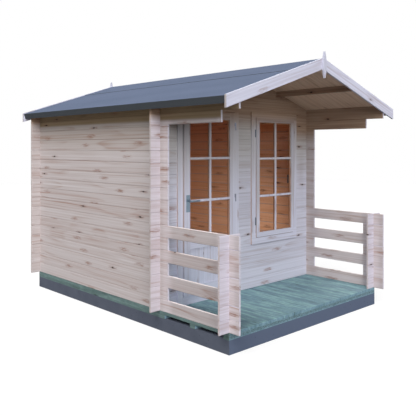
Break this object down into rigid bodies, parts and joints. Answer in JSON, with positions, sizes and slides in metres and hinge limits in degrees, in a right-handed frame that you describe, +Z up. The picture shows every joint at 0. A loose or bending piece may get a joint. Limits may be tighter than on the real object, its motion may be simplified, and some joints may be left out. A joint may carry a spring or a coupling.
{
  "type": "garden log cabin with porch",
  "caption": "Small gable-roofed log cabin with a railed porch, half-glazed door that swings out, glazed window and felted roof.",
  "frame": {"origin": "centre of the plinth's underside, on the ground", "axes": "+X to the right seen from the porch, +Y from the porch to the back wall, +Z up"},
  "size_m": [2.58, 3.517, 2.588],
  "materials": {
    "log_pine": "planed bare pine, matte",
    "roof_pine": "planed bare pine, matte",
    "planed_pine": "planed bare pine, matte",
    "green_pine": "green pressure-treated, matte",
    "roofing_felt": "mineral felt, matte",
    "grey_steel": "satin",
    "clear_glass": "clear",
    "dark_concrete": "matte"
  },
  "bodies": {
    "cabin": {"base_bearers": "green_pine", "left_wall": "log_pine", "left_rails": "log_pine", "left_eave_logs": "log_pine", "right_wall": "log_pine", "right_rails": "log_pine", "right_eave_logs": "log_pine", "back_wall": "log_pine", "back_gable": "log_pine", "front_wall_left": "log_pine", "front_wall_below_window": "log_pine", "front_wall_middle": "log_pine", "front_wall_right": "log_pine", "front_lintel_log": "log_pine", "front_gable": "log_pine", "left_post": "log_pine", "right_post": "log_pine", "roof_purlins": "roof_pine", "eave_boards": "roof_pine", "front_barge_boards": "planed_pine", "back_barge_boards": "planed_pine", "door_jambs": "planed_pine", "door_hinge_seats": "grey_steel", "window_frame": "planed_pine", "window_sash": "planed_pine", "window_fittings": "grey_steel", "base_plinth": "dark_concrete", "room_floor": "roof_pine", "porch_deck": "green_pine", "left_roof_boards": "roof_pine", "right_roof_boards": "roof_pine", "left_roof_felt": "roofing_felt", "right_roof_felt": "roofing_felt", "ridge_felt": "roofing_felt", "roof_finials": "planed_pine", "door_head": "planed_pine", "door_sill": "planed_pine", "window_glass": "clear_glass"},
    "door": {"door_stiles": "planed_pine", "door_rails": "planed_pine", "door_panel": "planed_pine", "door_glass": "clear_glass", "door_hinge_leaves": "grey_steel", "door_lock_plates": "grey_steel"},
    "door_lever": {"door_levers": "grey_steel"}
  },
  "joints": [
    {"name": "door_swing", "type": "hinge", "parent": "cabin", "child": "door", "pos_m": [-0.1505, -0.7655, 0.182], "axis": [0, 0, 1], "range_deg": [0, 105]},
    {"name": "lever_turn", "type": "hinge", "parent": "door", "child": "door_lever", "pos_m": [-0.806, -0.7395, 1.18], "axis": [0, 1, 0], "range_deg": [0, 40], "stiffness_Nm_per_rad": 2, "springref_deg": -11.46}
  ]
}
